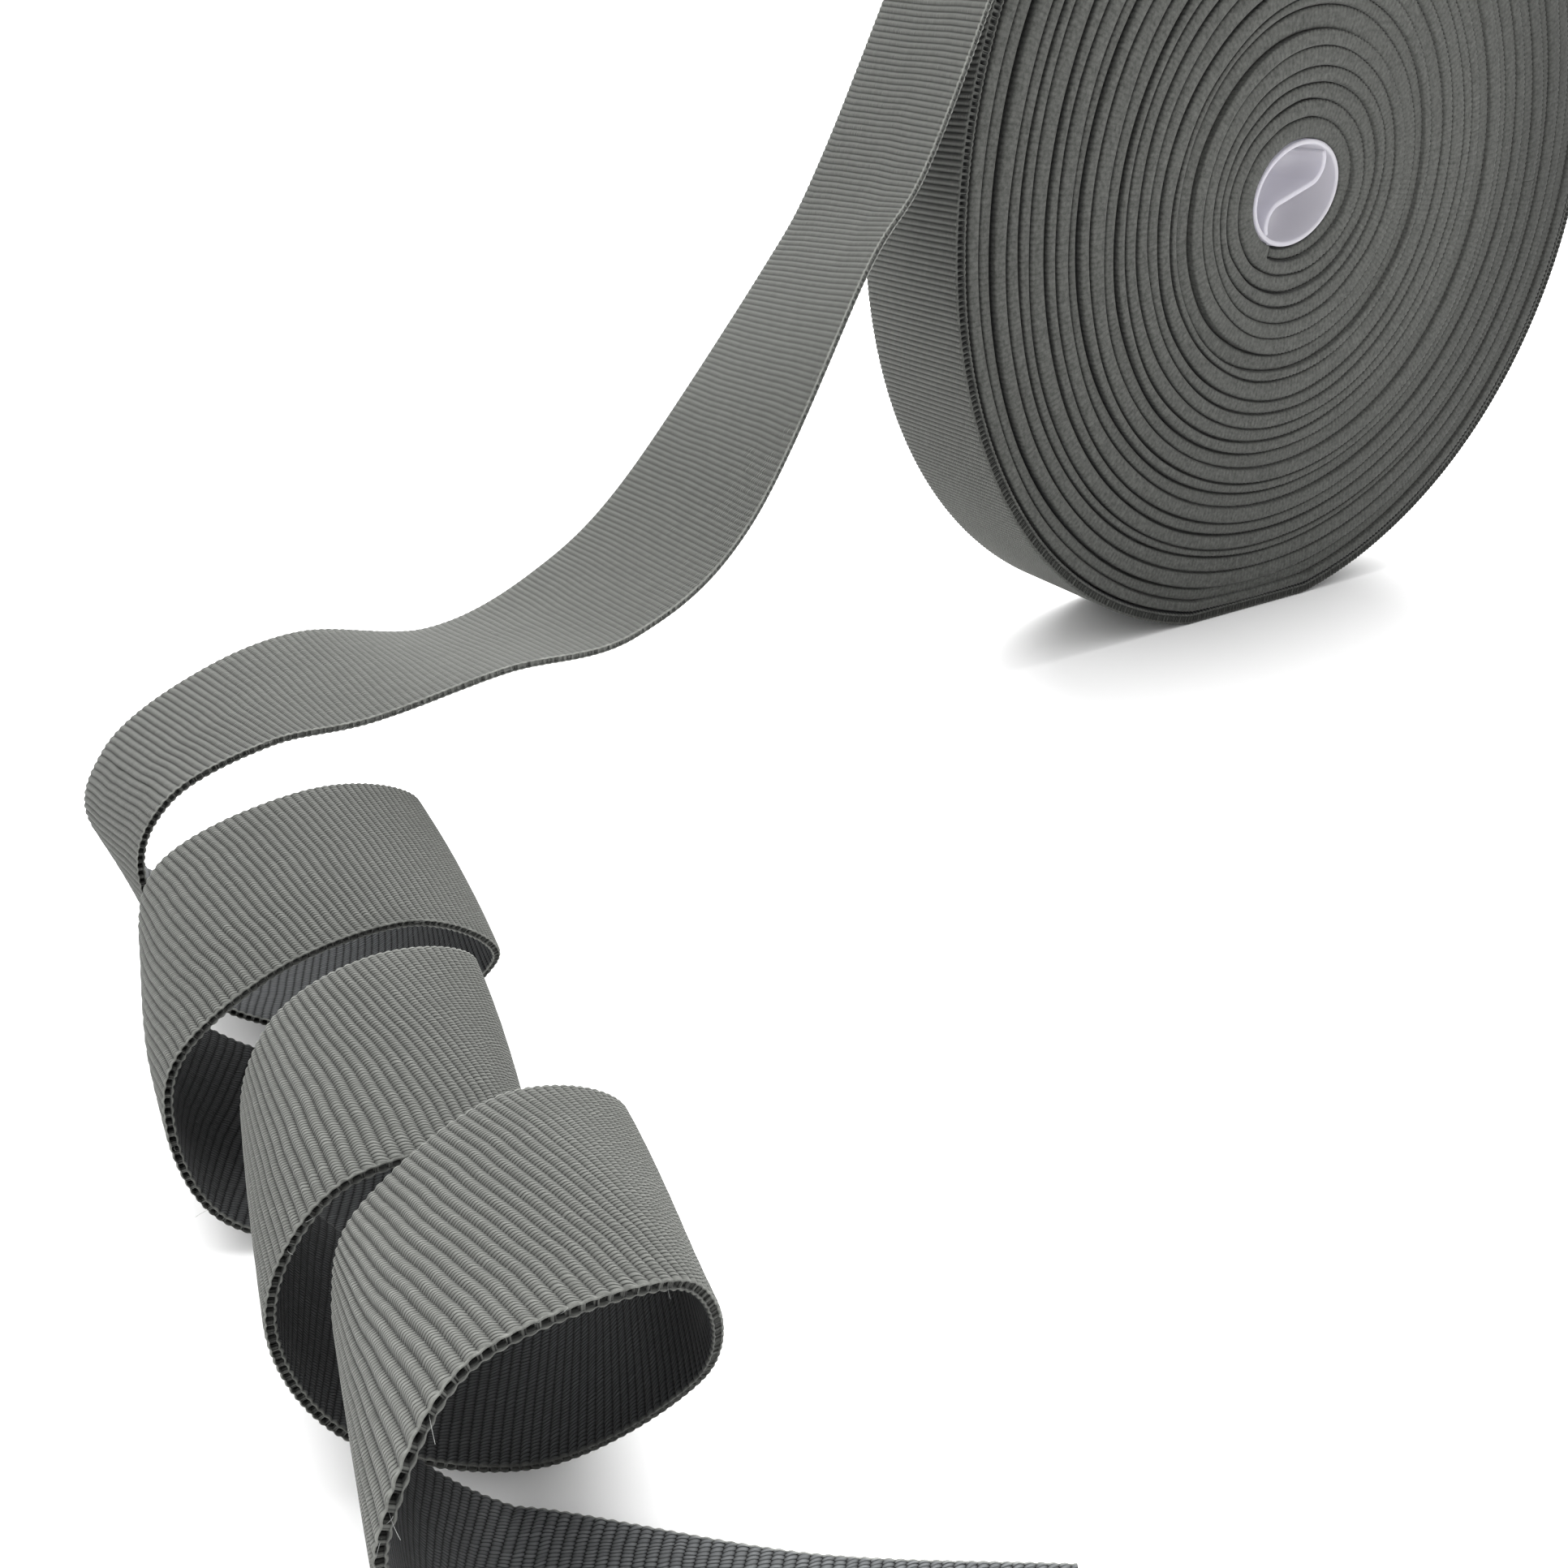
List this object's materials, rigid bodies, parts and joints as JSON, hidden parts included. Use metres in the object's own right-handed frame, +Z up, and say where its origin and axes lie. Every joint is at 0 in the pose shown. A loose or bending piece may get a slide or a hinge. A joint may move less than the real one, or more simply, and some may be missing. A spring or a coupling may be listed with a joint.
{
  "type": "roll of grosgrain ribbon",
  "caption": "Roll of ribbed grosgrain ribbon standing on its rim round a white plastic core, its loose end running down to the surface and curling into open coils.",
  "frame": {"origin": "middle of the flat spot under the roll's rim, halfway through the roll's width, on the surface that it stands on", "axes": "+Z up, +Y along the roll's axis away from its near face, +X across the roll away from its loose end"},
  "size_m": [0.3066, 0.1829, 0.1652],
  "materials": {
    "ribbon": "matte ribbed weave",
    "core_plastic": "satin"
  },
  "bodies": {
    "root": {"roll": "ribbon", "core": "core_plastic", "loose_end": "ribbon"}
  },
  "joints": []
}
